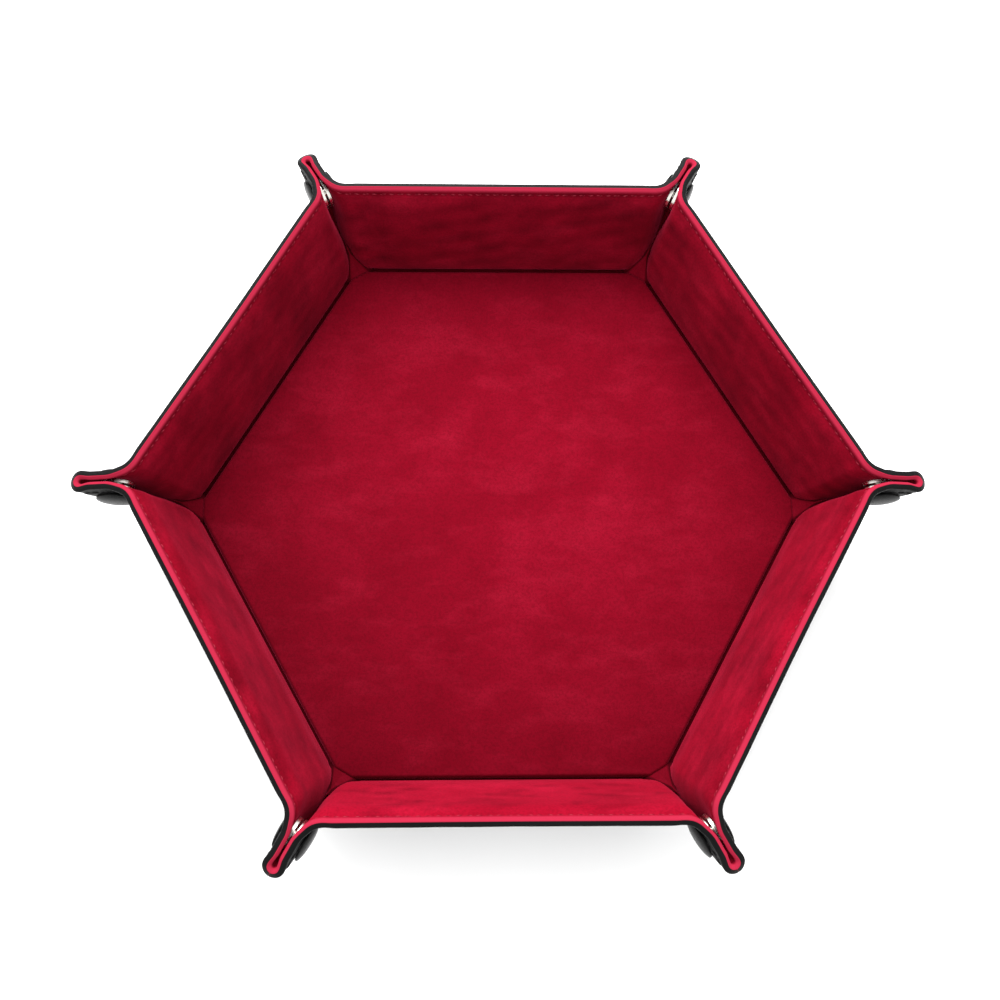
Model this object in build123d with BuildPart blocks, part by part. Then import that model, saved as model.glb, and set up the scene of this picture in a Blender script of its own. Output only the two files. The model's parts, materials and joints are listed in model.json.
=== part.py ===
"""Folding hexagonal tray: a stiff base, six fold-up walls and six snapped corner ears, shown set up for use.

Frame: origin at the centre of the underside, +X from corner to corner, +Z up, millimetres.
Wall 1 faces azimuth 30 degrees and the walls count anticlockwise. Every piece is drawn on the flat pattern of its
own panel and placed by the plane that the panel takes when its walls are up and its corners are snapped together.
"""

from build123d import *

import os
from math import acos, asin, atan, cos, degrees, radians, sin, tan

# ---- driving dimensions ----
SIDES = 6
CORNER = 360 / SIDES / 2  # angle between a wall's slope and the seam at its corner, when flat
FLAT_APOTHEM = 135.0  # centre to rim, laid flat
WALL_WIDTH = 41.25  # crease to rim
WALL_LEAN = 74.0  # how far each wall is folded up from flat
RIM_CORNER_RADIUS = 16.0  # rounding of the outline at each corner, laid flat

COVER = 1.0  # outer leather
BOARD = 1.8  # stiffener
LINING = 1.4  # inner suede with its backing
EAR_GAP = 1.2  # from the face of an ear's lining to the corner's middle plane

CREASE_TO_LINING = 2.65
CREASE_TO_BOARD = 3.85
RIM_TO_BOARD = 3.6
FOLD_TO_BOARD = 3.0  # from an ear's fold to the end of the wall's board
FOLD_CLEARANCE = 0.35  # each side of an ear's fold
SEAM_CLEARANCE = 0.9  # from an ear's cover to the seam at the corner
LINING_SEAM_CLEARANCE = 1.8
EAR_FOOT = 8.0  # from the base corner to the foot of an ear
BASE_CORNER_CUT = 7.0
WALL_CORNER_CUT = 6.0
SOFT_EDGE = 0.9  # rounding where the lining rolls over a board

SNAP_ALONG = 33.0  # along the ear's fold
SNAP_OUT = 8.0  # away from the ear's fold
CAP_RADIUS = 6.25
CAP_HEIGHT = 1.4
CAP_EDGE = 0.5  # the straight edge below the dome
CAP_SLOPE = 0.5  # how steeply the dome leaves that edge
FLANGE_RADIUS = 5.2
FLANGE = 1.0
BOSS_RADIUS = 3.0
BARREL_RADIUS = 1.6
BARREL_TOP = 0.8
FLARE_RADIUS = 1.9
FLARE = 0.25
FLARE_CLEARANCE = 0.05
STUD_RADIUS = 1.7
STUD_NECK = 1.45
STUD_REACH = 1.3
STUD_KNOB_FOOT = 0.43  # where the neck ends, from the flange
STUD_KNOB_BELLY = 0.78  # where the knob is widest, from the flange
STUD_SHELL = 0.45
BORE_RADIUS = 2.15
SPRING_RADIUS = 2.45
SPRING_WIRE = 0.22
HOLE_CLEARANCE = 0.1

# ---- derived geometry ----
CREASE_APOTHEM = FLAT_APOTHEM - WALL_WIDTH
SIDE = 2 * CREASE_APOTHEM * tan(radians(CORNER))
CREASE_HEIGHT = COVER  # the creases bend about the upper face of the leather
EAR_FOLD_LEVEL = -COVER / 2  # the ears bend about the middle of the leather

LEAN = radians(WALL_LEAN)
SEAM = radians(CORNER)
EAR_FOLD = acos(sin(LEAN) * sin(SEAM))  # turn that brings an ear parallel to the corner's middle plane
FOLD_SKEW = atan(cos(LEAN) * tan(SEAM))  # the ear's fold against the wall's slope
FOLD_OFFSET = (EAR_GAP + LINING + COVER / 2) / sin(EAR_FOLD)  # that fold from the base corner

FOLD_START = (SIDE / 2 - FOLD_OFFSET * cos(FOLD_SKEW), FOLD_OFFSET * sin(FOLD_SKEW))
RIM_ARC_CENTRE = (SIDE / 2 + (WALL_WIDTH - RIM_CORNER_RADIUS) * tan(SEAM), WALL_WIDTH - RIM_CORNER_RADIUS)

LINING_SKIRT = CREASE_TO_BOARD - CREASE_TO_LINING  # the lining past the board, all round
SNAP_FACE = LINING + FLANGE
SPRING_LEVEL = SNAP_FACE - FLANGE / 2
LINED_BOARD = BOARD + LINING


# ---- places on a panel's flat pattern: x along the crease, y towards the rim ----
def by_fold(along, out):
    """Point at a distance along the ear's fold and a distance out from it."""
    x = FOLD_START[0] + along * sin(FOLD_SKEW) + out * cos(FOLD_SKEW)
    y = FOLD_START[1] + along * cos(FOLD_SKEW) - out * sin(FOLD_SKEW)
    return x, y


def by_fold_at_height(y, out):
    """Point beside the ear's fold at a given distance from the crease."""
    along = (y - FOLD_START[1] + out * sin(FOLD_SKEW)) / cos(FOLD_SKEW)
    return by_fold(along, out)


def by_seam(along, back):
    """Point at a distance along the corner's seam and a distance back from it."""
    return SIDE / 2 + along * sin(SEAM) - back * cos(SEAM), along * cos(SEAM) + back * sin(SEAM)


def mirrored(points):
    return [(-x, y) for x, y in points]


# ---- planes of the panels, with the walls up ----
def wall_plane(number):
    """Wall's plane: x clockwise along its crease, y up its slope, z towards the inside of the tray."""
    azimuth = radians(CORNER + (number - 1) * 360 / SIDES)
    outward = Vector(cos(azimuth), sin(azimuth), 0)
    clockwise = Vector(sin(azimuth), -cos(azimuth), 0)
    inward = outward * -sin(LEAN) + Vector(0, 0, cos(LEAN))
    return Plane(origin=outward * CREASE_APOTHEM + Vector(0, 0, CREASE_HEIGHT), x_dir=clockwise, z_dir=inward)


def ear_plane(number, end):
    """Ear's plane: the wall's plane turned outward about the ear's fold; end is 1 clockwise, -1 anticlockwise."""
    wall = wall_plane(number)
    pivot = wall.from_local_coords(Vector(end * FOLD_START[0], FOLD_START[1], EAR_FOLD_LEVEL))
    tip = wall.from_local_coords(Vector(end * (FOLD_START[0] + sin(FOLD_SKEW)), FOLD_START[1] + cos(FOLD_SKEW),
                                        EAR_FOLD_LEVEL))
    fold = Axis((0, 0, 0), tip - pivot)
    turn = end * degrees(EAR_FOLD)
    return Plane(
        origin=pivot + (wall.origin - pivot).rotate(fold, turn),
        x_dir=wall.x_dir.rotate(fold, turn),
        z_dir=wall.z_dir.rotate(fold, turn),
    )


# ---- sketches, drawn on the plane of the block that calls them ----
def wall_outline(plane, foot):
    """The wall between its two ear folds, from its foot to the rim."""
    right = [by_fold_at_height(foot, -FOLD_CLEARANCE), by_fold_at_height(WALL_WIDTH, -FOLD_CLEARANCE)]
    with BuildSketch(plane) as outline:
        Polygon(*right, *reversed(mirrored(right)), align=None)
    return outline.sketch


def board_outline(plane, grow):
    """The wall's board, grown all round, with its lower corners cut."""
    out = -FOLD_TO_BOARD + grow
    foot = CREASE_TO_BOARD - grow
    top = WALL_WIDTH - RIM_TO_BOARD + grow
    right = [by_fold_at_height(foot, out), by_fold_at_height(top, out)]
    with BuildSketch(plane) as outline:
        Polygon(*right, *reversed(mirrored(right)), align=None)
        chamfer(outline.vertices().group_by(Axis.Y)[0], WALL_CORNER_CUT)
    return outline.sketch


def base_outline(plane, inset, cut):
    """The base hexagon set in from the creases, with its corners cut."""
    with BuildSketch(plane) as outline:
        RegularPolygon(CREASE_APOTHEM - inset, SIDES, major_radius=False)
        chamfer(outline.vertices(), cut)
    return outline.sketch


def ear_outline(plane, end, seam_clearance):
    """One half of an ear: from its fold to the seam, under the rounded corner of the rim."""
    arc_end = 90 - CORNER + degrees(asin(seam_clearance / RIM_CORNER_RADIUS))
    fold_top = by_fold_at_height(WALL_WIDTH, FOLD_CLEARANCE)
    fold_foot = by_fold(EAR_FOOT - FOLD_OFFSET / 2, FOLD_CLEARANCE)
    seam_foot = by_seam(EAR_FOOT, seam_clearance)
    with BuildSketch(plane) as outline:
        with BuildLine():
            rim_arc = CenterArc(RIM_ARC_CENTRE, RIM_CORNER_RADIUS, 90, arc_end - 90)
            Polyline(rim_arc @ 0, fold_top, fold_foot, seam_foot, rim_arc @ 1)
        make_face()
        if end < 0:
            mirror(about=Plane.YZ, mode=Mode.REPLACE)
    return outline.sketch


def snap_plane(ear, end):
    """Plane of an ear's snap: z along the snap's axis, level with the upper face of the leather."""
    x, y = by_fold(SNAP_ALONG, SNAP_OUT)
    return Plane(origin=ear.from_local_coords(Vector(end * x, y, 0)), x_dir=ear.x_dir, z_dir=ear.z_dir)


def snap_profile_plane(ear, end):
    """Plane of a snap's half section: x away from its axis, y along it."""
    snap = snap_plane(ear, end)
    return Plane(origin=snap.origin, x_dir=snap.x_dir, z_dir=-snap.y_dir)


# ---- half sections of the snaps: x from the axis, y from the upper face of the leather ----
def cap_profile():
    """Domed cap under the leather, with a barrel that is flared over inside the socket or the stud."""
    shoulder = -COVER - CAP_EDGE
    flare_foot = BARREL_TOP + FLARE_CLEARANCE
    with BuildLine() as edge:
        rim = Polyline(
            (0, flare_foot + FLARE),
            (FLARE_RADIUS, flare_foot + FLARE),
            (FLARE_RADIUS, flare_foot),
            (BARREL_RADIUS, flare_foot),
            (BARREL_RADIUS, -COVER),
            (CAP_RADIUS, -COVER),
            (CAP_RADIUS, shoulder),
        )
        dome = Spline(rim @ 1, (0, -COVER - CAP_HEIGHT), tangents=((-1, -CAP_SLOPE), (-1, 0)))
        Line(dome @ 1, rim @ 0)
    make_face(edge.edges())


def socket_profile():
    """Socket: a boss through the lining, a flange over it, and a bore with a groove for the spring."""
    hole = BARREL_RADIUS + HOLE_CLEARANCE / 2
    groove = SPRING_RADIUS + SPRING_WIRE + HOLE_CLEARANCE
    groove_half = SPRING_WIRE + HOLE_CLEARANCE
    with BuildLine() as edge:
        Polyline(
            (hole, 0),
            (BOSS_RADIUS, 0),
            (BOSS_RADIUS, LINING),
            (FLANGE_RADIUS, LINING),
            (FLANGE_RADIUS, SNAP_FACE),
            (BORE_RADIUS, SNAP_FACE),
            (BORE_RADIUS, SPRING_LEVEL + groove_half),
            (groove, SPRING_LEVEL + groove_half),
            (groove, SPRING_LEVEL - groove_half),
            (BORE_RADIUS, SPRING_LEVEL - groove_half),
            (BORE_RADIUS, BARREL_TOP),
            (hole, BARREL_TOP),
            close=True,
        )
    make_face(edge.edges())


def spring_profile():
    """Ring spring that grips the stud's neck."""
    with Locations((SPRING_RADIUS, SPRING_LEVEL)):
        Circle(SPRING_WIRE)


def stud_profile():
    """Stud: the same boss and flange, with a hollow knob that clicks into the socket."""
    hole = BARREL_RADIUS + HOLE_CLEARANCE / 2
    chamber = FLARE_RADIUS + HOLE_CLEARANCE
    hollow = STUD_NECK - STUD_SHELL
    top = SNAP_FACE + STUD_REACH
    ceiling = SNAP_FACE - STUD_SHELL
    with BuildLine() as edge:
        foot = Polyline(
            (hollow, ceiling),
            (chamber, ceiling),
            (chamber, BARREL_TOP),
            (hole, BARREL_TOP),
            (hole, 0),
            (BOSS_RADIUS, 0),
            (BOSS_RADIUS, LINING),
            (FLANGE_RADIUS, LINING),
            (FLANGE_RADIUS, SNAP_FACE),
            (STUD_NECK, SNAP_FACE),
            (STUD_NECK, SNAP_FACE + STUD_KNOB_FOOT),
        )
        knob = ThreePointArc(foot @ 1, (STUD_RADIUS, SNAP_FACE + STUD_KNOB_BELLY), (hollow, top))
        Polyline(knob @ 1, (0, top), (0, top - STUD_SHELL), (hollow, top - STUD_SHELL), foot @ 0)
    make_face(edge.edges())


def turned(plane, profile):
    """A turned piece of a snap from its half section."""
    with BuildSketch(plane) as section:
        profile()
    revolve(section.sketch, axis=Axis(plane.origin, plane.y_dir))


def finish(part, label):
    part.label = label
    export_step(part, f"parts/{label}.step")


os.makedirs("parts", exist_ok=True)
BASE = Plane.XY.offset(CREASE_HEIGHT)

# ---- base: leather, board and lining ----
with BuildPart() as base_cover:
    extrude(base_outline(BASE, 0, FOLD_OFFSET), amount=COVER, dir=-BASE.z_dir)
finish(base_cover.part, "base_cover")

with BuildPart() as base_board:
    extrude(base_outline(BASE, CREASE_TO_BOARD, BASE_CORNER_CUT), amount=BOARD)
finish(base_board.part, "base_board")

with BuildPart() as base_lining:
    extrude(base_outline(BASE, CREASE_TO_LINING, BASE_CORNER_CUT), amount=LINED_BOARD)
    fillet(base_lining.faces().sort_by(Axis.Z)[-1].edges(), SOFT_EDGE)
    extrude(base_outline(BASE, CREASE_TO_BOARD, BASE_CORNER_CUT), amount=BOARD, mode=Mode.SUBTRACT)
finish(base_lining.part, "base_lining")

# ---- walls: leather, board and lining ----
for number in range(1, SIDES + 1):
    plane = wall_plane(number)
    slope = Axis((0, 0, 0), plane.z_dir)

    with BuildPart() as wall_cover:
        extrude(wall_outline(plane, 0), amount=COVER, dir=-plane.z_dir)
    finish(wall_cover.part, f"wall_cover_{number}")

    with BuildPart() as wall_board:
        extrude(board_outline(plane, 0), amount=BOARD, dir=plane.z_dir)
    finish(wall_board.part, f"wall_board_{number}")

    with BuildPart() as wall_lining:
        extrude(board_outline(plane, LINING_SKIRT), amount=LINED_BOARD, dir=plane.z_dir)
        fillet(wall_lining.faces().sort_by(slope)[-1].edges(), SOFT_EDGE)
        extrude(wall_outline(plane, CREASE_TO_LINING), amount=LINING, dir=plane.z_dir)
        extrude(board_outline(plane, 0), amount=BOARD, dir=plane.z_dir, mode=Mode.SUBTRACT)
    finish(wall_lining.part, f"wall_lining_{number}")

# ---- ears: two halves at each corner, with one half of a press snap in each ----
for number in range(1, SIDES + 1):
    for side, end in (("a", 1), ("b", -1)):
        plane = ear_plane(number, end)
        snap = snap_plane(plane, end)

        with BuildPart() as ear_cover:
            extrude(ear_outline(plane, end, SEAM_CLEARANCE), amount=COVER, dir=-plane.z_dir)
            with BuildSketch(snap):
                Circle(BARREL_RADIUS + HOLE_CLEARANCE)
            extrude(amount=-COVER, mode=Mode.SUBTRACT)
        finish(ear_cover.part, f"ear_cover_{number}{side}")

        with BuildPart() as ear_lining:
            extrude(ear_outline(plane, end, LINING_SEAM_CLEARANCE), amount=LINING, dir=plane.z_dir)
            with BuildSketch(snap):
                Circle(BOSS_RADIUS + HOLE_CLEARANCE)
            extrude(amount=LINING, mode=Mode.SUBTRACT)
        finish(ear_lining.part, f"ear_lining_{number}{side}")

    with BuildPart() as snap_socket:
        plane = snap_profile_plane(ear_plane(number, 1), 1)
        turned(plane, cap_profile)
        turned(plane, socket_profile)
        turned(plane, spring_profile)
    finish(snap_socket.part, f"snap_socket_{number}")

    with BuildPart() as snap_stud:
        plane = snap_profile_plane(ear_plane(number, -1), -1)
        turned(plane, cap_profile)
        turned(plane, stud_profile)
    finish(snap_stud.part, f"snap_stud_{number}")
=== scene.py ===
# Looks of the folding hexagonal dice tray: black leather outside, red velvet inside, stitched rims and
# snapped ears. Metres, in the frame of the imported model. Each panel's cloth and leather are drawn on the
# tray's flat pattern (x along the crease, y towards the rim, h above the leather's upper face) and then
# folded up to the rest pose.
import json
import math

import bpy
import numpy as np
from mathutils import Matrix, Vector


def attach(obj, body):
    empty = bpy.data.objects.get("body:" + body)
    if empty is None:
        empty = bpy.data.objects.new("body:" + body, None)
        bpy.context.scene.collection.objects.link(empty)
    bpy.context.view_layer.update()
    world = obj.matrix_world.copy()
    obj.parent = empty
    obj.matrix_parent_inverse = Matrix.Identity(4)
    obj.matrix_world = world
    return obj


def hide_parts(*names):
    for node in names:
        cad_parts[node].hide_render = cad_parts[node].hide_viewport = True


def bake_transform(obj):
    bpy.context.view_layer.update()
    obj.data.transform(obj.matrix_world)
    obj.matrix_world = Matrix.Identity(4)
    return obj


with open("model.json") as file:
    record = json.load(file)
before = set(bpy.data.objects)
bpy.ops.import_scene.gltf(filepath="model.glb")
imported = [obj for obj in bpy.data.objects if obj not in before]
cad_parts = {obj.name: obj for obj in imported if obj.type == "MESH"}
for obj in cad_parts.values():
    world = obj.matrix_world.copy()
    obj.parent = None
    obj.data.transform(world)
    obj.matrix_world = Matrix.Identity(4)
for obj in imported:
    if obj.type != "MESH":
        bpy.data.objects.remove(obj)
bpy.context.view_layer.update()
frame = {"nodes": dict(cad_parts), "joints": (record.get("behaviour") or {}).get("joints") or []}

# ---- sizes shared with the CAD model ----
MM = 0.001
SIDES = 6
SEAM = math.radians(30)  # a wall's slope against the seam at its corner, when flat
LEAN = math.radians(74)
WALL = 41.25 * MM  # crease to rim
RIM_RADIUS = 16 * MM  # the outline's rounding at each corner
COVER = 1.0 * MM
BOARD = 1.8 * MM
LINING = 1.4 * MM
EAR_GAP = 1.2 * MM
CREASE_TO_BOARD = 3.85 * MM
RIM_TO_BOARD = 3.6 * MM
FOLD_TO_BOARD = 3.0 * MM
SNAP_OUT = 8.0 * MM
SNAP_ALONG = 33.0 * MM
FLANGE_RADIUS = 5.2 * MM

# ---- sizes of the cloth work ----
SEAM_LEVEL = LINING + EAR_GAP  # the corner's middle plane, seen from an ear
CURL = 4.4 * MM  # how far back from the seam an ear starts to curl round to its other half
EAR_BEND = 6.2 * MM  # half the width of the bend between a wall and its ear
CREASE_BEND = 0.95 * MM  # half the width of the bend between the base and a wall
CREASE_EDGE = 1.7 * MM  # where a panel's cloth stops and the crease strip starts
CREASE_CLOTH = 0.6 * MM  # the velvet's thickness where it is drawn into a crease
BASE_CUT = 104.4 * MM  # from the middle to the velvet's cut corners on the base
LEATHER_CUT = 108.0 * MM  # the same on the leather underneath
PAD_CUT = 0.8 * MM  # how much of a wall pad's lower corners is rounded away
FACET_TIP = 109.7 * MM  # from the middle to the tip of a corner's small triangle
FACET_RISE = 8.2 * MM  # how much higher that tip is than the triangle's foot
FACET_WIDTH = 4.4 * MM  # half the triangle's width at its foot
PIECE_SHIFT = 0.4  # how far apart the pieces are on the cloth that the materials see
STITCH_INSET = 2.7 * MM
STITCH_PITCH = 3.0 * MM
STITCH_LENGTH = 0.76 * STITCH_PITCH
THREAD_RADIUS = 0.27 * MM
UP = np.array([0.0, 0.0, 1.0])

# painted light: how light the velvet is painted on each wall, and at the lightest place of the base, standing
# in for how the light and the sheen fall on each
WALL_PAINTED_LIGHT = {1: 0.605, 2: 0.555, 3: 0.515, 4: 0.58, 5: 1.0, 6: 0.73}
BASE_PAINTED_LIGHT = 0.645

JOINTS = {j["name"]: j for j in frame["joints"]}


# ---- geometry of the folds ----
def smooth(t):
    """Smooth step from 0 to 1."""
    t = np.clip(t, 0.0, 1.0)
    return t * t * (3 - 2 * t)


def turn(points, pivot, axis, angle):
    """Points turned about an axis, each by its own angle."""
    p = points - pivot
    c = np.cos(angle)[:, None]
    s = np.sin(angle)[:, None]
    return pivot + p * c + np.cross(axis, p) * s + np.outer(p @ axis, axis) * (1 - c)


class Bend:
    """A fold that turns points from flat to rest about an axis, spread over a band from start to end."""

    def __init__(self, pivot, axis, angle, along, half_width, relief):
        self.pivot, self.axis, self.angle = pivot, axis, angle
        middle = turn(along[None], np.zeros(3), axis, np.array([angle / 2]))[0]
        self.start = pivot - middle * half_width
        self.end = pivot + middle * half_width
        self.inner = np.cross(axis, middle) * math.copysign(1.0, angle)
        self.relief = relief

    def weight(self, rest):
        d = self.end - self.start
        return smooth((rest - self.start) @ d / (d @ d))

    def at(self, flat, w):
        inward = 4 * w * (1 - w) * self.relief
        return turn(flat, self.pivot, self.axis, w * self.angle) + np.outer(inward, self.inner)

    def fold(self, flat):
        """Rest places whose own weight takes them back to where they are when flat."""
        w = self.weight(flat)
        for _ in range(60):
            w = 0.5 * w + 0.5 * self.weight(self.at(flat, w))
        return self.at(flat, w)


class Panel:
    """A wall: its crease's middle, and its directions x, y up the slope and z inward, at rest and flat."""

    def __init__(self, number):
        joint = JOINTS[f"wall_fold_{number}"]
        self.number = number
        self.origin = np.array(joint["pos_m"])
        self.x = -np.array(joint["axis"])
        self.outward = np.array([self.origin[0], self.origin[1], 0.0])
        self.outward /= np.linalg.norm(self.outward)
        self.y = math.cos(LEAN) * self.outward + math.sin(LEAN) * UP
        self.z = -math.sin(LEAN) * self.outward + math.cos(LEAN) * UP

    def world(self, p, end=1):
        """Rest places of flat x, y, h; end is 1 for a wall's clockwise half, -1 for the mirrored one."""
        return self.origin + (p * [end, 1, 1]) @ np.stack([self.x, self.y, self.z])

    def flat_world(self, p):
        return self.origin + p @ np.stack([self.x, self.outward, UP])

    def corner(self, end):
        """The direction out to an end's corner, and the one from that corner's middle plane to the wall."""
        out = turn(self.outward[None], np.zeros(3), UP, np.array([-SEAM * end]))[0]
        side = self.outward - out * (self.outward @ out)
        return out, side / np.linalg.norm(side)

    def keep_side(self, points, gap=0.01 * MM):
        """Points held on this wall's side of the middle planes of its two corners."""
        points = points.copy()
        for end in (1, -1):
            side = self.corner(end)[1]
            points += np.outer(np.maximum(gap - points @ side, 0), side)
        return points


PANELS = [Panel(k) for k in range(1, SIDES + 1)]
APOTHEM = float(np.linalg.norm(PANELS[0].origin[:2]))
HALF_SIDE = APOTHEM * math.tan(SEAM)


def ear_bend():
    """The bend between a wall and its clockwise ear, in the wall's own x, y, h."""
    wall, joint = PANELS[0], JOINTS["ear_fold_1a"]
    axes = np.stack([wall.x, wall.y, wall.z])
    pivot = axes @ (np.array(joint["pos_m"]) - wall.origin)
    axis = axes @ np.array(joint["axis"])
    out = np.cross(axis, UP)
    out *= np.sign(out[0])
    angle = -math.acos(math.sin(LEAN) * math.sin(SEAM))
    return Bend(pivot, axis, angle, out, EAR_BEND, 0.9 * MM), out


EAR, EAR_OUT = ear_bend()
EAR_UP = np.array([-EAR_OUT[1], EAR_OUT[0], 0.0])
RIM_CENTRE = np.array([HALF_SIDE + (WALL - RIM_RADIUS) * math.tan(SEAM), WALL - RIM_RADIUS])
SEAM_ALONG = np.array([math.sin(SEAM), math.cos(SEAM)])
SEAM_BACK = np.array([-math.cos(SEAM), math.sin(SEAM)])
CORNER = np.array([HALF_SIDE, 0.0])


def crease_bend():
    """The bend between the base and a wall, in the flat x, y, h of the wall."""
    x, y = np.eye(3)[:2]
    return Bend(np.zeros(3), x, LEAN, y, CREASE_BEND, 0.0)


CREASE = crease_bend()


def noise(x, y, seed, size):
    """Smooth seeded waviness of about one unit, as a sum of a few plane waves."""
    rng = np.random.default_rng(seed)
    total = np.zeros_like(x)
    waves = 6
    for _ in range(waves):
        a, phase = rng.uniform(0, math.tau), rng.uniform(0, math.tau)
        k = rng.uniform(0.6, 1.5) * math.tau / size
        total += np.sin(k * (x * math.cos(a) + y * math.sin(a)) + phase)
    return total / waves * 1.6


# ---- shape of a panel's surface, on the flat pattern ----
def rim_distance(x, y):
    straight = WALL - y
    round_ = RIM_RADIUS - np.hypot(x - RIM_CENTRE[0], y - RIM_CENTRE[1])
    return np.where((x > RIM_CENTRE[0]) & (y > RIM_CENTRE[1]), round_, straight)


def beside_fold(x, y):
    """How far out from the ear's fold a place is, negative on the wall."""
    return (np.stack([x, y], -1) - EAR.pivot[:2]) @ EAR_OUT[:2]


def board_distance(x, y):
    """How far inside the ends and the rim's side of the wall's board a place is, negative outside it."""
    beside = -FOLD_TO_BOARD - beside_fold(x, y)
    above = WALL - RIM_TO_BOARD - y
    return np.minimum(beside, above)


def pad_share(x, y):
    """The share of the board's height that shows through the velvet, apart from the crease."""
    inside = -FOLD_TO_BOARD - beside_fold(x, y)
    corner = (inside + y - CREASE_TO_BOARD - PAD_CUT) / math.sqrt(2)
    ends = smooth((inside + 4.6 * MM) / (4.8 * MM)) * smooth((rim_distance(x, y) - 1.0 * MM) / (6.0 * MM))
    return ends * smooth((corner + 1.6 * MM) / (2.6 * MM))


def from_crease(distance):
    """(the velvet's thickness, a steep step up to the board's height) at a distance from a crease."""
    cloth = CREASE_CLOTH + (LINING - CREASE_CLOTH) * smooth((distance - CREASE_EDGE) / (1.2 * MM))
    return cloth, smooth((distance - 1.5 * MM) / (0.7 * MM))


def snap_distance(x, y):
    centre = EAR.pivot + SNAP_ALONG * EAR_UP + SNAP_OUT * EAR_OUT
    return np.hypot(x - centre[0], y - centre[1])


def ear_press(x, y):
    """How far an ear leans to its other half, below the snap and at the rim, where they aren't held apart."""
    place = np.stack([x, y], -1) - CORNER
    along, back = place @ SEAM_ALONG, place @ SEAM_BACK
    beside = beside_fold(x, y)
    low = 1.1 * (1 - smooth((along - 14 * MM) / (14 * MM))) * smooth((beside + 4.5 * MM) / (6.5 * MM))
    high = 1 - smooth((rim_distance(x, y) - 0.5 * MM) / (4 * MM))
    high *= smooth((beside - 1.5 * MM) / (5 * MM)) * smooth((snap_distance(x, y) - 5.6 * MM) / (3.2 * MM))
    high *= 0.45 + 0.55 * smooth((back - CURL) / (3.5 * MM))
    return MM * (low + high)


def lining_top(x, y, number, end):
    """Height of the velvet's face: padded over the board, drawn in along the stitches, rounded at the rim."""
    rim = rim_distance(x, y)
    cloth = from_crease(y)[0]
    step = 0.42 * smooth((y - 1.5 * MM) / (2.2 * MM)) + 0.58 * smooth((y - 3 * MM) / (9 * MM))
    pad = BOARD * step * pad_share(x, y)
    edge = 0.75 * MM * (1 - smooth(rim / (1.1 * MM))) ** 2
    puff = 0.15 * MM * np.exp(-(((rim - 1.2 * MM) / (0.8 * MM)) ** 2))
    groove = 0.5 * MM * np.exp(-(((rim - STITCH_INSET) / (0.42 * MM)) ** 2))
    dent = 0.3 * MM * np.exp(-(((snap_distance(x, y) - FLANGE_RADIUS) / (1.6 * MM)) ** 2))
    wave = 0.08 * MM * noise(end * x, y, 10 * number, 26 * MM)
    wave = wave + 0.03 * MM * noise(end * x, y, 10 * number + 1, 9 * MM)
    return cloth + pad - edge + puff - groove - dent + wave * smooth(rim / (6 * MM)) * step


def leather_top(x, y):
    """Height of the leather's inner face: its turned edge is a little thicker along the rim."""
    return 0.4 * MM * np.exp(-((rim_distance(x, y) / (2.2 * MM)) ** 2))


def leather_bottom(x, y, number, end):
    """Height of the leather's outer face: the board shows through faintly, and the stitches draw it in."""
    rim = rim_distance(x, y)
    edge = 0.3 * MM * (1 - smooth(rim / (0.5 * MM))) ** 2 - 0.3 * MM * np.exp(-((rim / (1.5 * MM)) ** 2))
    groove = 0.22 * MM * np.exp(-(((rim - STITCH_INSET) / (0.4 * MM)) ** 2))
    slack = 0.16 * MM * (1 - smooth((board_distance(x, y) + 1.5 * MM) / (2 * MM)))
    wave = 0.03 * MM * noise(end * x, y, 10 * number + 2, 18 * MM)
    return -COVER + edge + groove + slack * smooth(rim / (5 * MM)) + wave


def wall_sway(x, y, number):
    """Slow bowing of a whole wall, inwards so that the board stays covered; none at crease or ears."""
    up = smooth(y / WALL)
    middle = np.cos(np.clip(x / HALF_SIDE, 0, 1) * math.pi / 2) ** 2
    return 0.2 * MM * up * middle * (1 + math.sin(number * 2.4))


# ---- meshes ----
def make(name, points, faces, material, body=None):
    mesh = bpy.data.meshes.new(name)
    mesh.from_pydata([tuple(p) for p in points], [], faces)
    mesh.validate()
    obj = bpy.data.objects.new(name, mesh)
    bpy.context.scene.collection.objects.link(obj)
    mesh.materials.append(material)
    for polygon in mesh.polygons:
        polygon.use_smooth = True
    mesh.set_sharp_from_angle(angle=math.radians(55))
    if body:
        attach(obj, body)
    return obj


def remember(obj, name, values):
    """Stores a value or a place at each vertex, for the materials."""
    kind = "FLOAT" if np.ndim(values) == 1 else "FLOAT_VECTOR"
    layer = obj.data.attributes.new(name, kind, "POINT")
    key = "value" if kind == "FLOAT" else "vector"
    layer.data.foreach_set(key, np.asarray(values, np.float32).ravel())


def closed_sheet(upper, lower):
    """Vertices and faces of a closed sheet between two grids of points, both rows by columns by 3."""
    rows, columns = upper.shape[:2]
    count = rows * columns
    points = np.concatenate([upper.reshape(-1, 3), lower.reshape(-1, 3)])
    faces = []
    for i in range(rows - 1):
        for j in range(columns - 1):
            a, b = i * columns + j, (i + 1) * columns + j
            faces.append((a, a + 1, b + 1, b))
            faces.append((count + a, count + b, count + b + 1, count + a + 1))
    border = [(0, j) for j in range(columns)]
    border += [(i, columns - 1) for i in range(1, rows)]
    border += [(rows - 1, j) for j in range(columns - 2, -1, -1)]
    border += [(i, 0) for i in range(rows - 2, 0, -1)]
    ring = [i * columns + j for i, j in border]
    for a, b in zip(ring, ring[1:] + ring[:1]):
        faces.append((b, a, count + a, count + b))
    return points, faces


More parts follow.
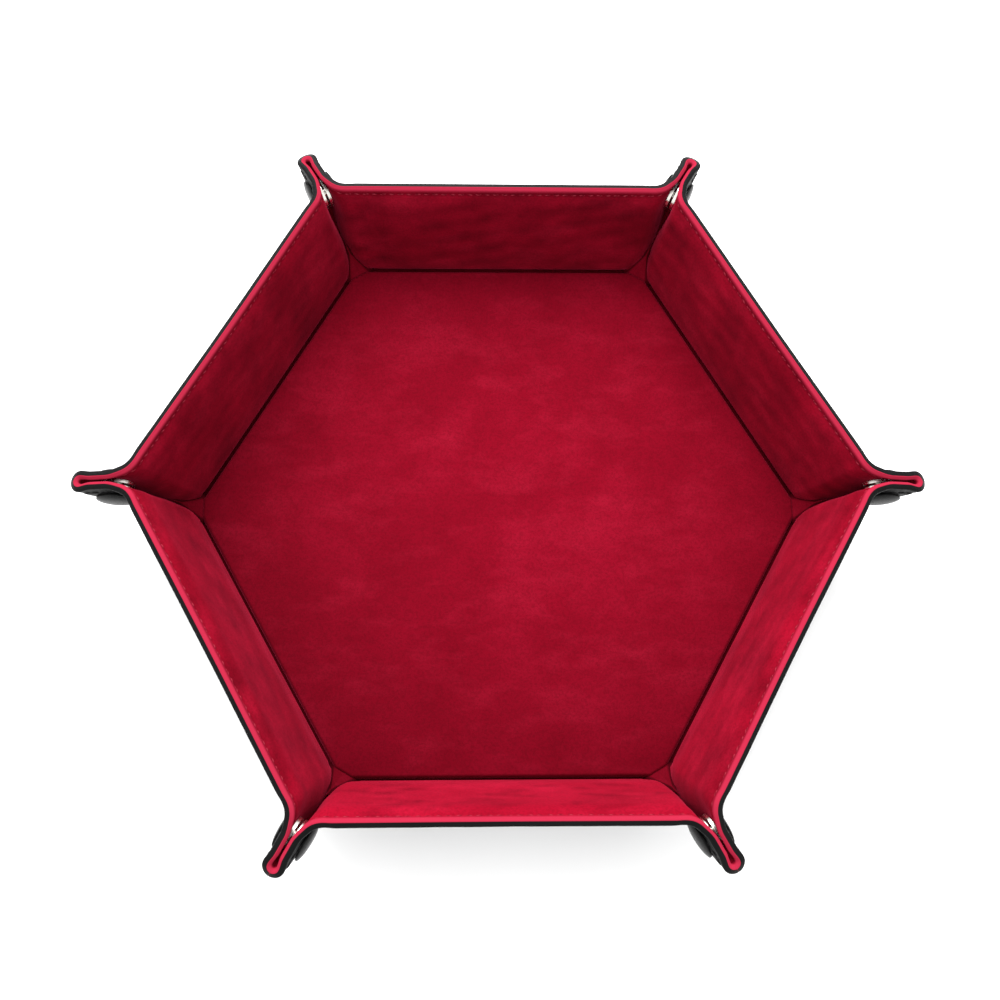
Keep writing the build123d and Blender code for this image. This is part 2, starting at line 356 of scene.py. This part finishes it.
def panel_grid(foot):
    """Flat places over half a wall and its ear: rows from foot to rim, columns from middle to seam."""
    arc = RIM_RADIUS * SEAM
    length = RIM_CENTRE[0] + arc
    coarse = np.linspace(0, 0.60, 18, endpoint=False)
    fine = np.linspace(0.60, 1.0, 58)
    across = np.concatenate([coarse, fine])
    up = np.concatenate([
        [0.0, 0.012, 0.026], np.linspace(0.045, 0.86, 26),
        np.linspace(0.875, 0.972, 12), [0.98, 0.988, 0.995, 1.0],
    ])
    top = across * length
    turned = np.clip((top - RIM_CENTRE[0]) / RIM_RADIUS, 0, SEAM)
    rim = np.stack([
        np.minimum(top, RIM_CENTRE[0]) + RIM_RADIUS * np.sin(turned),
        RIM_CENTRE[1] + RIM_RADIUS * np.cos(turned),
    ], -1)
    low_x = across * HALF_SIDE
    low_y = foot * (1 - smooth((low_x - (HALF_SIDE - 5 * MM)) / (4 * MM)))
    low = np.stack([low_x + low_y * math.tan(SEAM) * across, low_y], -1)
    grid = low[None] * (1 - up[:, None, None]) + rim[None] * up[:, None, None]
    return grid[..., 0], grid[..., 1]


def curled(x, y, h):
    """Places near the seam carried round towards the ear's other half, to meet it in a rounded fold."""
    place = np.stack([x, y], -1) - CORNER
    along, back = place @ SEAM_ALONG, place @ SEAM_BACK
    radius = np.maximum(SEAM_LEVEL - h, 0.02 * MM)
    quarter = np.clip((CURL - back) / CURL, 0, 1) * math.pi / 2
    inside = back < CURL
    new_back = np.where(inside, CURL - radius * np.sin(quarter), back)
    new_h = np.where(inside, SEAM_LEVEL - radius * np.cos(quarter), h)
    flat = CORNER + along[..., None] * SEAM_ALONG + new_back[..., None] * SEAM_BACK
    return np.stack([flat[..., 0], flat[..., 1], new_h], -1)


def close_seam(panel, end, points, x, y, gap):
    """Brings a half's seam onto the corner's middle plane, and what is near the seam with it."""
    side = panel.corner(end)[1]
    back = (np.stack([x, y], -1) - CORNER) @ SEAM_BACK
    share = 1 - smooth(back / (1.6 * CURL))
    layers = points.reshape(2, *x.shape, 3)
    for layer in layers:
        off = layer[:, -1] @ side - gap
        layer -= (off[:, None] * share)[..., None] * side
    return layers.reshape(-1, 3)


def base_painted_light(x, y):
    """Painted light on the base's velvet: a painted pool of light, lightest a little behind the middle, to
    the right.
    """
    off = ((x - 18 * MM) / (130 * MM)) ** 2 + ((y - 25 * MM) / (150 * MM)) ** 2
    return BASE_PAINTED_LIGHT * np.clip(1 - 0.45 * off, 0.5, 1)


def cloth_place(panel, x, y, h):
    """Where a point is on the cloth, for the materials: each wall has its own stretch of it."""
    return np.stack([x + panel.number * PIECE_SHIFT, y, h], -1)


def panel_sheet(name, panel, end, kind, material):
    """The velvet or the leather of half a wall and its ear, as one closed sheet."""
    x, y = panel_grid(CREASE_EDGE)
    sway = wall_sway(x, y, panel.number) + ear_press(x, y)
    if kind == "lining":
        upper_h = lining_top(x, y, panel.number, end)
        lower_h = np.maximum(upper_h - LINING, leather_top(x, y)) + 0.03 * MM
        lower_h[:, -1] = -0.6 * COVER
    else:
        upper_h = leather_top(x, y)
        lower_h = leather_bottom(x, y, panel.number, end)
    upper = curled(x, y, upper_h + sway)
    lower = curled(x, y, lower_h + sway)
    points, faces = closed_sheet(upper, lower)
    if end < 0:
        faces = [f[::-1] for f in faces]
    gap = 0.01 * MM if kind == "lining" else 0.04 * MM
    rest = close_seam(panel, end, panel.world(EAR.fold(points), end), x, y, gap)
    obj = make(name, panel.keep_side(rest, gap), faces, material)
    x_twice, y_twice = np.tile(x.ravel(), 2), np.tile(y.ravel(), 2)
    remember(obj, "cloth", cloth_place(panel, x_twice * end, y_twice, points[:, 2]))
    remember(obj, "rim", np.tile(rim_distance(x, y).ravel(), 2))
    patches = 0.17 * noise(end * x, y, 10 * panel.number + 3, 34 * MM)
    patches += 0.19 * noise(0.5 * end * x, 1.5 * y, 10 * panel.number + 4, 10 * MM)
    patches += 0.10 * noise(end * x, y, 10 * panel.number + 5, 5 * MM)
    # painted light: each wall's velvet is painted lighter or darker as a whole, with random patches of tone
    # on top
    remember(obj, "nap", np.tile((WALL_PAINTED_LIGHT[panel.number] * (1 + patches)).ravel(), 2))
    bend_with_ear(obj, panel, end)
    return obj


def bend_with_ear(obj, panel, end):
    start, finish = (panel.world(p[None], end)[0] for p in (EAR.start, EAR.end))
    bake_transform(obj)


def bend_with_wall(obj, panel):
    """Bakes the transform of a piece that bends between the base and a wall; the band around the crease is
    worked out but not used.
    """
    start, finish = (panel.flat_world(p[None])[0] for p in (CREASE.start, CREASE.end))
    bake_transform(obj)


def strip_profile(level):
    """Heights across a crease strip, from the base's side to the wall's side, sagging in the middle."""
    y = np.linspace(-CREASE_EDGE, CREASE_EDGE, 13)
    return y, level * (1 - 0.25 * np.cos(y / CREASE_EDGE * math.pi / 2))


def crease_strip(name, panel, top, bottom, material):
    """The strip of sheet that bends at a wall's crease, from one corner to the other."""
    y, upper_h = strip_profile(top)
    x = np.linspace(-1, 1, 61)[:, None] * (HALF_SIDE + y[None] * math.tan(SEAM))
    grid_y = np.broadcast_to(y, x.shape)
    upper = np.stack([x, grid_y, np.broadcast_to(upper_h, x.shape)], -1)
    lower = np.stack([x, grid_y, np.full_like(x, bottom)], -1)
    points, faces = closed_sheet(upper, lower)
    rest = panel.keep_side(panel.flat_world(CREASE.fold(points)))
    obj = make(name, rest, [f[::-1] for f in faces], material)
    remember(obj, "cloth", cloth_place(panel, *points.T))
    remember(obj, "rim", np.full(len(points), WALL))
    # painted shade: the crease strip's velvet is painted darker than the base beside it
    remember(obj, "nap", 0.6 * base_painted_light(rest[:, 0], rest[:, 1]))
    bend_with_wall(obj, panel)
    return obj


def corner_ring(apothem, cut_distance, per_side, per_cut):
    """A hexagon's outline with its corners cut off, anticlockwise from the corner at azimuth 0."""
    half_cut = max((apothem - cut_distance * math.cos(SEAM)) / math.sin(SEAM), 0.0)
    points = []
    for k in range(SIDES):
        azimuth = math.tau / SIDES * k
        out = np.array([math.cos(azimuth), math.sin(azimuth)])
        left = np.array([-out[1], out[0]])
        reach = np.hypot(cut_distance, half_cut) if half_cut else apothem / math.cos(SEAM)
        first = cut_distance * out - half_cut * left if half_cut else reach * out
        second = cut_distance * out + half_cut * left if half_cut else reach * out
        nxt = math.tau / SIDES * (k + 1)
        out2 = np.array([math.cos(nxt), math.sin(nxt)])
        left2 = np.array([-out2[1], out2[0]])
        third = cut_distance * out2 - half_cut * left2 if half_cut else reach * out2
        points += [first + (second - first) * t for t in np.linspace(0, 1, per_cut, endpoint=False)]
        points += [second + (third - second) * t for t in np.linspace(0, 1, per_side, endpoint=False)]
    return np.array(points)


def base_sheet(name, kind, material):
    """The velvet or the leather of the base, inside its six creases, as one closed sheet."""
    edge = APOTHEM - CREASE_EDGE
    cut = BASE_CUT if kind == "lining" else LEATHER_CUT
    insets = np.concatenate([
        [0.0, 0.15, 0.35, 0.6, 0.9, 1.2, 1.5, 1.8, 2.1, 2.4, 2.8, 3.3, 4.0, 5.0, 6.5, 8.5],
        np.linspace(11, 92, 28),
    ]) * MM
    rings = [corner_ring(edge - d, cut - d, 48, 10) for d in insets if d < 9 * MM]
    last, last_inset = rings[-1], insets[len(rings) - 1]
    rings += [last * ((edge - d) / (edge - last_inset)) for d in insets if d >= 9 * MM]
    grid = np.array(rings)
    x, y = grid[..., 0], grid[..., 1]
    inset = np.broadcast_to(insets[:, None], x.shape)
    if kind == "lining":
        thickness, step = from_crease(inset + CREASE_EDGE)
        wave = 0.10 * MM * noise(x, y, 71, 40 * MM) + 0.035 * MM * noise(x, y, 72, 11 * MM)
        upper_h = thickness + BOARD * step + wave * smooth(inset / (4 * MM))
        lower_h = np.maximum(upper_h - LINING + 0.03 * MM, 0.03 * MM)
    else:
        upper_h = np.zeros_like(x)
        shown = 0.12 * MM * (1 - smooth((inset - 0.6 * MM) / (2 * MM))) * smooth(inset / (0.5 * MM))
        lower_h = -COVER + shown + 0.03 * MM * (1 + noise(x, y, 73, 30 * MM)) / 2
    count = x.size
    level = PANELS[0].origin[2]
    sides = [np.stack([x, y, h + level], -1).reshape(-1, 3) for h in (upper_h, lower_h)]
    middles = [[[0, 0, h[-1].mean() + level]] for h in (upper_h, lower_h)]
    points = np.concatenate(sides + middles)
    rows, columns = x.shape
    faces = []
    for j in range(columns):
        n = (j + 1) % columns
        for i in range(rows - 1):
            a, b, c, d = i * columns + j, i * columns + n, (i + 1) * columns + n, (i + 1) * columns + j
            faces += [(a, b, c, d), (count + d, count + c, count + b, count + a)]
        a, b = (rows - 1) * columns + j, (rows - 1) * columns + n
        faces += [(a, b, 2 * count), (count + b, count + a, 2 * count + 1)]
        faces.append((n, j, count + j, count + n))
    obj = make(name, points, faces, material, "base")
    remember(obj, "cloth", points)
    remember(obj, "rim", np.full(len(points), WALL))
    # painted light: the base's velvet is painted lighter in a broad pool and darker towards its edges
    remember(obj, "nap", base_painted_light(points[:, 0], points[:, 1]))
    return obj


def corner_facet(name, panel, end, material):
    """Half of the small triangle of velvet that rises from the base's cut corner into the corner's fold."""
    out, side = panel.corner(end)
    level = panel.origin[2]
    foot = BASE_CUT - 0.85 * MM
    v = np.linspace(0, 1.42, 33)[:, None]  # from the cut edge to the tip at 1, and on into the fold
    u = np.linspace(0, 1, 21)[None]  # from the corner's middle to the wall
    rho = foot + (FACET_TIP - foot) * v
    z = level + 2.1 * MM + FACET_RISE * v**1.15
    wall_face = (APOTHEM + (z - level) / math.tan(LEAN) - 0.9 * MM) / math.cos(SEAM)
    reach = np.maximum(wall_face - rho, 0.05 * MM) * math.tan(2 * SEAM)
    width = np.minimum(FACET_WIDTH * np.maximum(1 - v**1.1, 0), reach)
    across = u * reach
    beside = smooth((across - 0.8 * width) / np.maximum(reach - 0.8 * width, 0.4 * MM))
    recess = 1.5 * MM * beside * (1 - 0.6 * v)
    puff = 0.3 * MM * np.sin(math.pi * np.minimum(v, 1)) * (1 - smooth(across / np.maximum(width, 0.3 * MM)))
    upper = (rho + 0.64 * recess)[..., None] * out + (across + 0.01 * MM)[..., None] * side
    upper = upper + (z + puff - 0.77 * recess)[..., None] * UP
    lower = upper + CREASE_CLOTH * (0.6 * out - 0.8 * UP)
    points, faces = closed_sheet(upper, lower)
    if end < 0:
        faces = [f[::-1] for f in faces]
    obj = make(name, panel.keep_side(points), faces, material)
    x, y = across.ravel(), np.broadcast_to(v * 12 * MM, across.shape).ravel()
    place = cloth_place(panel, end * x + end * 0.06, y, np.zeros_like(x))
    remember(obj, "cloth", np.tile(place, (2, 1)))
    remember(obj, "rim", np.full(len(points), WALL))
    # painted shade: the triangle is painted darker towards the wall beside it and on into the fold
    shade = 1 - 0.65 * smooth((across - 0.7 * width) / np.maximum(0.3 * width, 0.3 * MM))
    remember(obj, "nap", np.tile(shade.ravel(), 2) * base_painted_light(points[:, 0], points[:, 1]))
    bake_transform(obj)
    return obj


# ---- stitches ----
def rim_path(inset, along):
    """The flat place at a distance along the rim from the wall's middle, and the direction there."""
    radius = RIM_RADIUS - inset
    turned = np.clip((along - RIM_CENTRE[0]) / radius, 0, SEAM)
    place = np.stack([
        np.minimum(along, RIM_CENTRE[0]) + radius * np.sin(turned), RIM_CENTRE[1] + radius * np.cos(turned)
    ], -1)
    direction = np.stack([np.cos(turned), -np.sin(turned)], -1)
    return place, direction


def stitches(name, panel, end, kind, material):
    """The row of stitches along half a wall's rim and its ear, on the velvet's face or the leather's."""
    rng = np.random.default_rng(10 * panel.number + (3 if end > 0 else 5) + (0 if kind == "lining" else 1))
    radius = RIM_RADIUS - STITCH_INSET
    length = RIM_CENTRE[0] + radius * SEAM - 2.2 * MM
    middles = np.arange(STITCH_PITCH / 2, length - STITCH_PITCH * 0.4, STITCH_PITCH)
    ring = np.linspace(0, math.tau, 9)[:-1]
    steps = np.linspace(-1, 1, 9)
    points, faces, run = [], [], []
    half = STITCH_LENGTH / 2
    for number, middle in enumerate(middles):
        start = number * len(steps) * len(ring)
        slant = rng.normal(0, 0.05)
        thick = THREAD_RADIUS + rng.normal(0, 0.015) * MM
        place, direction = rim_path(STITCH_INSET, middle + half * steps)
        across = np.stack([-direction[:, 1], direction[:, 0]], -1)
        place = place + across * (slant * half * steps)[:, None]
        swell = np.sqrt(np.clip(1 - steps**2 * 0.93, 0, 1))
        x = place[:, 0][:, None] + across[:, 0][:, None] * np.cos(ring) * (thick * swell)[:, None]
        y = place[:, 1][:, None] + across[:, 1][:, None] * np.cos(ring) * (thick * swell)[:, None]
        sway = wall_sway(x, y, panel.number) + ear_press(x, y)
        if kind == "lining":
            ground = lining_top(place[:, 0], place[:, 1], panel.number, end)[:, None]
            ground = ground + 0.24 * MM * (swell - 0.75)[:, None]
        else:
            ground = leather_bottom(place[:, 0], place[:, 1], panel.number, end)[:, None]
            ground = ground - 0.16 * MM * (swell - 0.4)[:, None]
        h = ground + np.sin(ring) * (thick * swell)[:, None]
        points.append(curled(x, y, h + sway).reshape(-1, 3))
        lengthwise = np.broadcast_to((middle + half * steps)[:, None], x.shape)
        run.append(np.stack([lengthwise, np.broadcast_to(ring * thick, x.shape), h], -1).reshape(-1, 3))
        n = len(ring)
        for i in range(len(steps) - 1):
            for j in range(n):
                a, b = start + i * n + j, start + i * n + (j + 1) % n
                faces.append((a, b, b + n, a + n))
        faces.append(tuple(start + j for j in reversed(range(n))))
        faces.append(tuple(start + (len(steps) - 1) * n + j for j in range(n)))
    points = np.concatenate(points)
    if end < 0:
        faces = [f[::-1] for f in faces]
    obj = make(name, panel.keep_side(panel.world(EAR.fold(points), end)), faces, material)
    remember(obj, "cloth", cloth_place(panel, *np.concatenate(run).T))
    bend_with_ear(obj, panel, end)
    return obj


# ---- materials ----
class Material:
    """A material being built: its nodes, links and shader."""

    def __init__(self, name):
        self.material = bpy.data.materials.new(name)
        self.material.use_nodes = True
        self.nodes, self.links = self.material.node_tree.nodes, self.material.node_tree.links
        self.shader = self.nodes["Principled BSDF"]

    def node(self, kind, **settings):
        node = self.nodes.new(kind)
        for key, value in settings.items():
            setattr(node, key, value)
        return node

    def link(self, a, b):
        self.links.new(a, b)

    def set(self, **inputs):
        for key, value in inputs.items():
            self.shader.inputs[key.replace("_", " ")].default_value = value

    def cloth(self, scale=(1, 1, 1)):
        """The point's place on the cloth, in metres, stretched."""
        place = self.node("ShaderNodeAttribute", attribute_name="cloth")
        mapping = self.node("ShaderNodeMapping")
        mapping.inputs["Scale"].default_value = scale
        self.link(place.outputs["Vector"], mapping.inputs["Vector"])
        return mapping.outputs["Vector"]

    def noise(self, vector, scale, detail=2.0, roughness=0.5):
        node = self.node("ShaderNodeTexNoise")
        node.inputs["Scale"].default_value = scale
        node.inputs["Detail"].default_value = detail
        node.inputs["Roughness"].default_value = roughness
        self.link(vector, node.inputs["Vector"])
        return node.outputs["Fac"]

    def ramp(self, value, stops):
        """A colour, or a grey from one number, at each stop."""
        node = self.node("ShaderNodeValToRGB")
        elements = node.color_ramp.elements
        while len(elements) < len(stops):
            elements.new(0.5)
        for element, (position, colour) in zip(elements, stops):
            element.position = position
            element.color = (*colour, 1) if isinstance(colour, tuple) else (colour, colour, colour, 1)
        self.link(value, node.inputs["Fac"])
        return node.outputs["Color"]

    def mix(self, factor, a, b):
        node = self.node("ShaderNodeMix", data_type="RGBA")
        colours = [s for s in node.inputs if s.type == "RGBA"]
        factors = [s for s in node.inputs if s.name == "Factor" and s.type == "VALUE"]
        for socket, value in ((factors[0], factor), (colours[0], a), (colours[1], b)):
            if isinstance(value, tuple):
                socket.default_value = (*value, 1)
            else:
                self.link(value, socket)
        return [s for s in node.outputs if s.type == "RGBA"][0]

    def multiply(self, a, b):
        node = self.node("ShaderNodeMath", operation="MULTIPLY")
        for socket, value in zip(node.inputs, (a, b)):
            if isinstance(value, float):
                socket.default_value = value
            else:
                self.link(value, socket)
        return node.outputs["Value"]

    def stored(self, name):
        return self.node("ShaderNodeAttribute", attribute_name=name).outputs["Fac"]

    def near(self, name, distance, blur):
        """1 where the stored distance is below a value, fading to 0 over blur."""
        node = self.node("ShaderNodeMapRange", interpolation_type="SMOOTHSTEP")
        node.inputs["From Min"].default_value = distance + blur
        node.inputs["From Max"].default_value = distance
        self.link(self.stored(name), node.inputs["Value"])
        return node.outputs["Result"]

    def bump(self, height, strength, distance):
        node = self.node("ShaderNodeBump")
        node.inputs["Strength"].default_value = strength
        node.inputs["Distance"].default_value = distance
        self.link(height, node.inputs["Height"])
        previous = self.shader.inputs["Normal"].links
        if previous:
            self.link(previous[0].from_socket, node.inputs["Normal"])
        self.link(node.outputs["Normal"], self.shader.inputs["Normal"])

    def colour(self, socket):
        self.link(socket, self.shader.inputs["Base Color"])

    def rough(self, socket):
        self.link(socket, self.shader.inputs["Roughness"])


def velvet():
    m = Material("velvet")
    place = m.cloth()
    blotches = m.noise(place, 38, 4, 0.6)
    base = [(0.28, (0.214, 0.0019, 0.0113)), (0.52, (0.254, 0.0026, 0.0144)), (0.76, (0.301, 0.0040, 0.0196))]
    colour = m.ramp(blotches, base)
    streaks = m.noise(m.cloth((0.45, 1.0, 1.0)), 105, 4, 0.62)
    colour = m.mix(m.ramp(streaks, [(0.48, 0.0), (0.82, 0.50)]), colour, (0.422, 0.0100, 0.0350))
    nap = m.noise(place, 1300, 3, 0.65)
    colour = m.mix(m.ramp(nap, [(0.36, 0.40), (0.58, 0.0)]), colour, (0.124, 0.0010, 0.0067))
    # painted light and shade, with random patches of tone: the colour is scaled by the value stored on each
    # piece
    colour = m.mix(m.stored("nap"), (0.0, 0.0, 0.0), colour)
    # painted highlight: a lighter pink band along the rim, where the rounded edge catches the light
    rim = m.near("rim", 0.6 * MM, 1.3 * MM)
    colour = m.mix(m.multiply(rim, 0.85), colour, (0.330, 0.0165, 0.0420))
    m.colour(colour)
    m.rough(m.ramp(nap, [(0.3, 0.80), (0.7, 0.98)]))
    m.set(Sheen_Weight=0.30, Sheen_Roughness=0.40, Sheen_Tint=(1.0, 0.06, 0.15, 1.0), Specular_IOR_Level=0.02)
    m.bump(blotches, 0.25, 0.6 * MM)
    m.bump(streaks, 0.35, 0.25 * MM)
    m.bump(nap, 0.55, 0.16 * MM)
    return m.material


def leather():
    m = Material("leather")
    place = m.cloth()
    tone = m.noise(place, 60, 4, 0.55)
    m.colour(m.ramp(tone, [(0.3, (0.0018, 0.0018, 0.0019)), (0.7, (0.0042, 0.0041, 0.0042))]))
    cells = m.node("ShaderNodeTexVoronoi", feature="F1")
    cells.inputs["Scale"].default_value = 1150
    m.link(place, cells.inputs["Vector"])
    grain = m.ramp(cells.outputs["Distance"], [(0.05, 1.0), (0.75, 0.0)])
    pores = m.noise(place, 2600, 2, 0.5)
    m.rough(m.ramp(tone, [(0.3, 0.38), (0.7, 0.54)]))
    m.set(Specular_IOR_Level=0.07)
    m.bump(tone, 0.3, 0.5 * MM)
    m.bump(grain, 0.5, 0.14 * MM)
    m.bump(pores, 0.3, 0.05 * MM)
    return m.material


def thread(name, dark, light):
    m = Material(name)
    place = m.cloth()
    twist = m.node("ShaderNodeTexWave", wave_type="BANDS", bands_direction="DIAGONAL", wave_profile="SIN")
    twist.inputs["Scale"].default_value = 320
    twist.inputs["Distortion"].default_value = 0.6
    m.link(place, twist.inputs["Vector"])
    fuzz = m.noise(place, 3000, 2, 0.6)
    m.colour(m.mix(twist.outputs["Fac"], dark, light))
    m.rough(m.ramp(fuzz, [(0.3, 0.65), (0.7, 0.85)]))
    m.set(Specular_IOR_Level=0.02)
    m.bump(twist.outputs["Fac"], 0.6, 0.10 * MM)
    m.bump(fuzz, 0.3, 0.04 * MM)
    return m.material


def nickel():
    """Bright nickel between the ears and black lacquer on the caps, which "depth" tells apart."""
    m = Material("nickel")
    place = m.node("ShaderNodeTexCoord").outputs["Object"]
    stains = m.noise(place, 500, 3, 0.6)
    scratches = m.noise(place, 5200, 2, 0.7)
    bright = m.ramp(stains, [(0.3, (0.66, 0.64, 0.59)), (0.7, (0.82, 0.80, 0.75))])
    dark = m.ramp(stains, [(0.3, (0.004, 0.004, 0.004)), (0.7, (0.008, 0.008, 0.008))])
    between = m.near("depth", 3.0 * MM, 0.8 * MM)
    m.colour(m.mix(between, dark, bright))
    m.link(between, m.shader.inputs["Metallic"])
    m.rough(m.ramp(stains, [(0.3, 0.22), (0.7, 0.32)]))
    m.set(Specular_IOR_Level=0.03)
    m.bump(scratches, 0.1, 0.02 * MM)
    return m.material


def board():
    m = Material("greyboard")
    place = m.node("ShaderNodeTexCoord").outputs["Object"]
    fibres = m.noise(place, 900, 4, 0.65)
    m.colour(m.ramp(fibres, [(0.3, (0.23, 0.19, 0.14)), (0.7, (0.36, 0.31, 0.24))]))
    m.rough(m.ramp(fibres, [(0.3, 0.8), (0.7, 0.95)]))
    m.bump(fibres, 0.4, 0.1 * MM)
    return m.material


def floor_paint():
    m = Material("floor_paint")
    place = m.node("ShaderNodeTexCoord").outputs["Object"]
    tone = m.noise(place, 14, 3, 0.5)
    m.colour(m.ramp(tone, [(0.3, (0.95, 0.95, 0.95)), (0.7, (0.97, 0.97, 0.97))]))
    m.rough(m.ramp(tone, [(0.3, 0.75), (0.7, 0.85)]))
    m.set(Specular_IOR_Level=0.1)
    return m.material


# ---- the pieces ----
velvet_look, leather_look = velvet(), leather()
red_thread = thread("red_thread", (0.13, 0.003, 0.010), (0.27, 0.022, 0.038))
black_thread = thread("black_thread", (0.003, 0.003, 0.003), (0.015, 0.0145, 0.015))
metal, pasteboard = nickel(), board()

base_lining = base_sheet("lining_base", "lining", velvet_look)
base_leather = base_sheet("leather_base", "leather", leather_look)
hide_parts("base_lining")
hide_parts("base_cover")
lining_strips, leather_strips = [], []


for panel in PANELS:
    k = panel.number
    strip = crease_strip(f"lining_crease_{k}", panel, CREASE_CLOTH, 0.03 * MM, velvet_look)
    lining_strips.append(strip)
    strip = crease_strip(f"leather_crease_{k}", panel, 0.0, -COVER, leather_look)
    leather_strips.append(strip)
    for end, side in ((1, "a"), (-1, "b")):
        facet = corner_facet(f"lining_corner_{k}{side}", panel, end, velvet_look)
        lining_strips.append(facet)
        cloth = panel_sheet(f"lining_wall_{k}{side}", panel, end, "lining", velvet_look)
        hide = panel_sheet(f"leather_wall_{k}{side}", panel, end, "leather", leather_look)
        seam_in = stitches(f"stitches_in_{k}{side}", panel, end, "lining", red_thread)
        seam_out = stitches(f"stitches_out_{k}{side}", panel, end, "leather", black_thread)
        seam_in, seam_out = seam_in, seam_out
        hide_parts(f"wall_lining_{k}", f"ear_lining_{k}{side}")
        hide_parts(f"wall_cover_{k}", f"ear_cover_{k}{side}")


def corner_depth(node):
    """How far each of a snap's vertices is from the middle plane of its corner."""
    places = np.array([node.matrix_world @ vertex.co for vertex in node.data.vertices])
    azimuth = np.round(math.degrees(math.atan2(*places.mean(0)[1::-1])) / 60) * 60
    normal = np.array([-math.sin(math.radians(azimuth)), math.cos(math.radians(azimuth)), 0.0])
    return np.abs(places @ normal)


for name, node in frame["nodes"].items():
    if name.startswith("snap"):
        look = metal
        remember(node, "depth", corner_depth(node))
    elif "board" in name:
        look = pasteboard
    else:
        continue
    for material_slot in node.material_slots:
        material_slot.material = look

# ---- floor, light and camera ----
floor_mesh = bpy.data.meshes.new("floor")
floor_corners = [(4 * x, 4 * y, -0.6 * MM) for x, y in ((-1, -1), (1, -1), (1, 1), (-1, 1))]
floor_mesh.from_pydata(floor_corners, [], [(0, 1, 2, 3)])
floor = bpy.data.objects.new("floor", floor_mesh)
bpy.context.scene.collection.objects.link(floor)
floor_mesh.materials.append(floor_paint())


def area_light(name, place, target, size, energy):
    light = bpy.data.lights.new(name, "AREA")
    light.shape = "DISK"
    light.size, light.energy = size, energy
    obj = bpy.data.objects.new(name, light)
    obj.location = place
    obj.rotation_euler = (Vector(target) - Vector(place)).to_track_quat("-Z", "Y").to_euler()
    bpy.context.scene.collection.objects.link(obj)


area_light("key", (-0.12, 0.80, 0.86), (0, 0, 0), 1.1, 26)
world = bpy.data.worlds.new("studio")
world.use_nodes = True
world.node_tree.nodes["Background"].inputs["Color"].default_value = (1, 1, 1, 1)
world.node_tree.nodes["Background"].inputs["Strength"].default_value = 1.5
bpy.context.scene.world = world
bpy.context.scene.view_settings.view_transform = "Standard"

# The photograph's view, in units of the hexagon's side from the middle of the crease plane.
ELEVATION, YAW, ROLL = math.radians(74.73), math.radians(5.23), math.radians(-5.04)
STAND = Vector((-0.001, -0.028, -3.421))
SIDE = APOTHEM / math.cos(SEAM)
tilt = Matrix.Rotation(ELEVATION - math.pi / 2, 3, "X")
to_camera = Matrix.Rotation(ROLL, 3, "Z") @ tilt @ Matrix.Rotation(YAW, 3, "Z")
camera_data = bpy.data.cameras.new("camera")
camera_data.lens, camera_data.sensor_width = 37.71, 36
camera = bpy.data.objects.new("camera", camera_data)
bpy.context.scene.collection.objects.link(camera)
to_world = to_camera.transposed()
camera_place = to_world @ (-STAND * SIDE) + Vector((0, 0, 3 * MM))
camera.matrix_world = Matrix.Translation(camera_place) @ to_world.to_4x4()
bpy.context.scene.camera = camera

bpy.context.view_layer.update()
